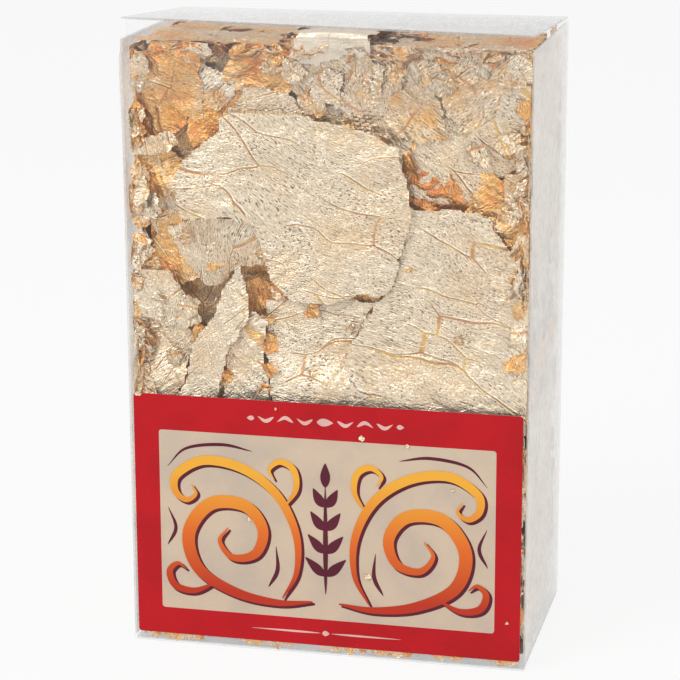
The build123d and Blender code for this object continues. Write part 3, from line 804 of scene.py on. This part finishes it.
# The lid springs higher at its left corner than at its right one, and twists its tuck flap with it
CORNER_LIFT = 0.6 * MM
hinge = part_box("top_lid")[1].y
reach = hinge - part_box("top_lid")[0].y
for node, finish in (("top_lid", lid_film), ("top_tuck_flap", tuck_film)):
    sprung = film_copy(node, node + "_sprung", finish)
    places = vertex_places(sprung)
    lift = np.clip((hinge - places[:, 1]) / reach, 0, 1)
    lift *= np.clip((places[:, 2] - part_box("top_tuck_flap")[0].z) / (8 * MM), 0, 1)
    places[:, 2] -= CORNER_LIFT * lift * places[:, 0] / (BOX_WIDTH / 2 * MM)
    set_places(sprung, places)
    if node == "top_lid":
        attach(sprung, node)
    else:
        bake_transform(sprung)

cured_glue, surface = start_finish(
    "cured glue", {"Base Color": (0.85, 0.80, 0.66, 1), "Roughness": 0.35}
)
patches = noise(surface, place_in_mm(surface), 0.5, 3.0).above(0.3, 0.7)
feed(surface, Alpha=patches * 0.3 + 0.12)

# What lies behind two other films shows only its outer face, so that light still gets through it
for node, axis, side, body, finish, slot in (
    ("top_left_dust_flap", 2, 1, "top_left_dust_flap", inner_film, "clear_film"),
    ("top_right_dust_flap", 2, 1, "top_right_dust_flap", inner_film, "clear_film"),
    ("bottom_left_dust_flap", 2, -1, "bottom_left_dust_flap", inner_film, "clear_film"),
    ("bottom_right_dust_flap", 2, -1, "bottom_right_dust_flap", inner_film, "clear_film"),
    ("glue_flap", 1, 1, "root", inner_film, "clear_film"),
    ("glue_line", 1, 1, "root", cured_glue, "glue"),
):
    outer = film_copy(node, node + "_face", finish)
    normals = np.empty(len(outer.data.polygons) * 3, np.float32)
    outer.data.polygons.foreach_get("normal", normals)
    delete_faces(outer, normals.reshape(-1, 3)[:, axis] * side < 0.5, rounds=0)
    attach(outer, body)


# --------------------------------------------------------------------------------------------------
# Label: a clear plastic sticker, printed red and cream and stuck on the lower front. Its ornament
# is plain scrollwork, the same left and right, printed orange over a maroon shadow.
PRINT_GLOSS = {"Roughness": 0.28, "Specular IOR Level": 0.25}


def print_finish(name, colour, darker):
    """Printing ink on glossy film, a little uneven in its depth."""
    material, surface = start_finish(name, PRINT_GLOSS)
    place = place_in_mm(surface)
    uneven = noise(surface, place, 0.11, 4.0).above(0.35, 0.7)
    grain = noise(surface, place, 3.0, 2.0).above(0.3, 0.9)
    tone = (uneven * 0.8 + grain * 0.2).tint((*colour, 1), (*darker, 1))
    bump = surface.node("Bump", {}, {"Strength": 0.15, "Distance": 0.0001, "Height": grain})
    feed(surface, Base_Color=tone, Normal=bump)
    return material


frame["nodes"]["label_border_print"].data.materials[0] = print_finish(
    "red print", (0.54, 0.003, 0.010), (0.43, 0.002, 0.006)
)
frame["nodes"]["label_window_print"].data.materials[0] = print_finish(
    "cream print", (0.68, 0.535, 0.395), (0.56, 0.46, 0.37)
)
maroon_print = print_finish("maroon print", (0.115, 0.011, 0.027), (0.09, 0.008, 0.02))
pink_print = print_finish("pale print on red", (0.83, 0.53, 0.48), (0.72, 0.40, 0.36))

# The scrolls go from red at the bottom to yellow at the top
scroll_print, surface = start_finish("orange print", PRINT_GLOSS)
height = surface.node("SeparateXYZ", {}, {0: place_in_mm(surface)}, output="Z")
rise = (height - 10.0) * 0.045
feed(surface, Base_Color=surface.node("ValToRGB", {"stops": (
    (0.0, (0.52, 0.035, 0.012)), (0.45, (0.78, 0.16, 0.02)), (0.9, (0.91, 0.44, 0.045)),
)}, {0: rise}))

PRINT_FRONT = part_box("label_window_print")[0].y
# Each stroke: the points that it runs through, in mm, and its greatest width
SCROLLS = (
    (((2.2, 9.0), (8, 8.4), (15, 9.6), (21.2, 13.2), (22.8, 19.2), (19.2, 24.4), (13.4, 24.6),
      (10.4, 20.8), (11.6, 16.6), (15.4, 15.6), (17.6, 18.2), (16.2, 20.6)), 2.2),
    (((7.2, 9.2), (4.8, 14.0), (4.9, 20.5), (8.0, 26.8), (13.5, 30.8), (20.0, 31.8), (24.6, 29.2),
      (25.0, 26.4), (23.2, 24.9), (21.5, 26.0), (22.2, 27.6)), 1.6),
    (((18.5, 11.0), (22.0, 9.4), (25.2, 10.0), (26.2, 12.4), (24.8, 13.9), (23.3, 13.0)), 1.2),
    (((6.6, 25.0), (4.8, 28.0), (5.2, 31.2), (7.4, 32.4), (9.2, 31.0), (8.4, 29.3)), 1.1),
)
TENDRILS = (
    (((12, 33.8), (17, 34.6), (23, 33.6), (26.2, 30.4)), 0.55),
    (((26.4, 17.0), (25.0, 20.0), (26.2, 23.4)), 0.6),
    (((9.5, 11.0), (8.0, 14.0), (8.2, 18.0)), 0.7),
) + tuple(
    (((0.2, z), (1.6 - 0.04 * (z - 13), z + 1.3), (3.4 - 0.115 * (z - 13), z + 3.0)), 1.6)
    for z in (13.6, 17.5, 21.4, 25.3)
)
STEM = ((((0, 10.5), (0, 20), (0, 29)), 0.8), (((0, 28.6), (0, 30.6), (0, 32.6)), 1.6))
TOP_BAND, BOTTOM_BAND = 39.4, 3.75
BAND_STROKES = tuple(
    (((x, TOP_BAND + rise), (x + 1.3, TOP_BAND - rise), (x + 2.6, TOP_BAND + rise)), 0.62)
    for x, rise in ((2.0, 0.35), (5.2, -0.35), (8.4, 0.35))
) + (
    (((11.6, TOP_BAND), (12.2, TOP_BAND), (12.8, TOP_BAND)), 0.8),
    (((0.9, BOTTOM_BAND), (6, BOTTOM_BAND), (12.4, BOTTOM_BAND)), 0.34),
)
BAND_CENTRES = (
    (((-1.3, TOP_BAND), (0, TOP_BAND), (1.3, TOP_BAND)), 1.3),
    (((-0.6, BOTTOM_BAND), (0, BOTTOM_BAND), (0.6, BOTTOM_BAND)), 0.9),
)


def smooth_line(points, places):
    """Places, 0 at the first point to 1 at the last, on a Catmull-Rom line through the points."""
    knots = np.array([points[0], *points, points[-1]], float)
    knots[0], knots[-1] = 2 * knots[1] - knots[2], 2 * knots[-2] - knots[-3]
    reach = places * (len(points) - 1)
    i = np.minimum(reach.astype(int), len(points) - 2)
    t = (reach - i)[:, None]
    a, b, c, d = (knots[i + k] for k in range(4))
    bend, twist = 2 * a - 5 * b + 4 * c - d, 3 * b - a - 3 * c + d
    return 0.5 * (2 * b + (c - a) * t + bend * t**2 + twist * t**3)


# How far each stroke stands out past the one before, and its end past its start, in mm
STROKE_STEP, STROKE_RISE = 0.004, 0.008
INK = 0.01 * MM


def printed(name, strokes, finish, lift, mirrored=True, shift=(0, 0), grow=0.0):
    """Strokes laid on the label as one print, no two in one plane, mirrored to the left as well."""
    strips = []
    for number, (points, width) in enumerate(strokes):
        for side in (1, -1) if mirrored else (1,):
            bpy.ops.object.select_all(action="DESELECT")
            bpy.ops.mesh.primitive_grid_add(
                x_subdivisions=12 * len(points), y_subdivisions=1, size=1
            )
            strip = bpy.context.object
            strip.name = strip.data.name = name
            flat = vertex_places(strip)
            along = np.clip(flat[:, 0] + 0.5, 0, 1)
            line = smooth_line(points, along)
            ahead = smooth_line(points, np.minimum(along + 0.004, 1))
            ahead -= smooth_line(points, np.maximum(along - 0.004, 0))
            ahead /= np.linalg.norm(ahead, axis=1)[:, None]
            half = width * (0.1 + 0.9 * np.sin(np.pi * along**0.8)) / 2 + grow
            aside = np.sign(flat[:, 1]) * half
            x = side * (line[:, 0] - ahead[:, 1] * aside) + shift[0]
            z = line[:, 1] + ahead[:, 0] * aside + shift[1]
            y = PRINT_FRONT / MM - lift - STROKE_STEP * number - STROKE_RISE * along
            set_places(strip, np.column_stack((x, y, z)) * MM)
            if side < 0:
                strip.data.flip_normals()
            strip.data.materials.append(finish)
            strips.append(strip)
    join(strips)
    thicken(strips[0], INK, offset=-1)
    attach(strips[0], "root")


printed("label_scroll_shadow", SCROLLS, maroon_print, 0.015, shift=(0.4, -0.35), grow=0.08)
printed("label_tendrils", TENDRILS, maroon_print, 0.015)
printed("label_stem", STEM, maroon_print, 0.055, mirrored=False)
printed("label_scrolls", SCROLLS, scroll_print, 0.06)
printed("label_band_ornament", BAND_STROKES, pink_print, 0.015)
printed("label_band_centres", BAND_CENTRES, pink_print, 0.05, mirrored=False)

# Specks of leaf that cling to the outside of the film
loose_leaf("label_specks", -2, [
    ((x, -18.32, z), radius, 0.15, 0.15, 900 + n) for n, (x, z, radius) in enumerate((
        (6.0, 37.2, 0.8), (7.0, 14.2, 0.7), (-30.9, 42.3, 0.7), (13.4, 36.4, 0.45),
        (-12.6, 22.4, 0.4), (29.6, 8.1, 0.4), (-8.0, 41.2, 0.35), (20.8, 29.6, 0.35),
    ))
], 0.2 * MM, inside=False)


# --------------------------------------------------------------------------------------------------
# Studio: a plain white floor that keeps the box's shadow, a white surround and two soft lamps. The
# floor and the surround look whiter than the light that they cast, so that the leaf has contrast.
bpy.ops.object.select_all(action="DESELECT")
bpy.ops.mesh.primitive_plane_add(size=6, location=(0, 0, -0.0001))
floor = bpy.context.object
floor.name = "studio_floor"
white_floor = bpy.data.materials.new("white floor")
white_floor.use_nodes = True
white_floor.node_tree.nodes.clear()
world = bpy.data.worlds.new("white surround")
world.use_nodes = True
bpy.context.scene.world = world


def seen_directly(tree):
    """1 for rays from the camera or sent on by film and metal, 0 for scattered ones."""
    node = tree.nodes.new("ShaderNodeLightPath")
    camera_ray, glossy_ray, sent_on = (
        Signal(tree, node.outputs[name])
        for name in ("Is Camera Ray", "Is Glossy Ray", "Is Transmission Ray")
    )
    first_two = camera_ray.math("MAXIMUM", camera_ray, glossy_ray)
    return camera_ray.math("MAXIMUM", first_two, sent_on)


tree = white_floor.node_tree
seen = seen_directly(tree)
paint = seen.node("BsdfDiffuse", {}, {"Color": (0.9, 0.9, 0.9, 1)})
glow = seen.node("Emission", {}, {"Color": (1, 1, 1, 1), "Strength": 1.0})
mixed = seen.node("MixShader", {}, {0: seen * 0.88, 1: paint, 2: glow})
tree.links.new(mixed.socket, tree.nodes.new("ShaderNodeOutputMaterial").inputs[0])
floor.data.materials.append(white_floor)

background = world.node_tree.nodes["Background"]
background.inputs["Color"].default_value = (1, 1, 1, 1)
strength = seen_directly(world.node_tree) * 0.55 + 0.45
world.node_tree.links.new(strength.socket, background.inputs["Strength"])

for name, place, power, width in (
    ("key", (-0.45, -0.55, 0.65), 4.2, 0.5), ("fill", (0.6, -0.45, 0.35), 1.6, 0.6),
):
    aim = Vector((0, 0, 0.05)) - Vector(place)
    bpy.ops.object.light_add(
        type="AREA", location=place, rotation=aim.to_track_quat("-Z", "Y").to_euler()
    )
    lamp = bpy.context.object
    lamp.name = name
    lamp.data.energy = power
    lamp.data.size = width

bpy.context.scene.view_settings.view_transform = "Standard"
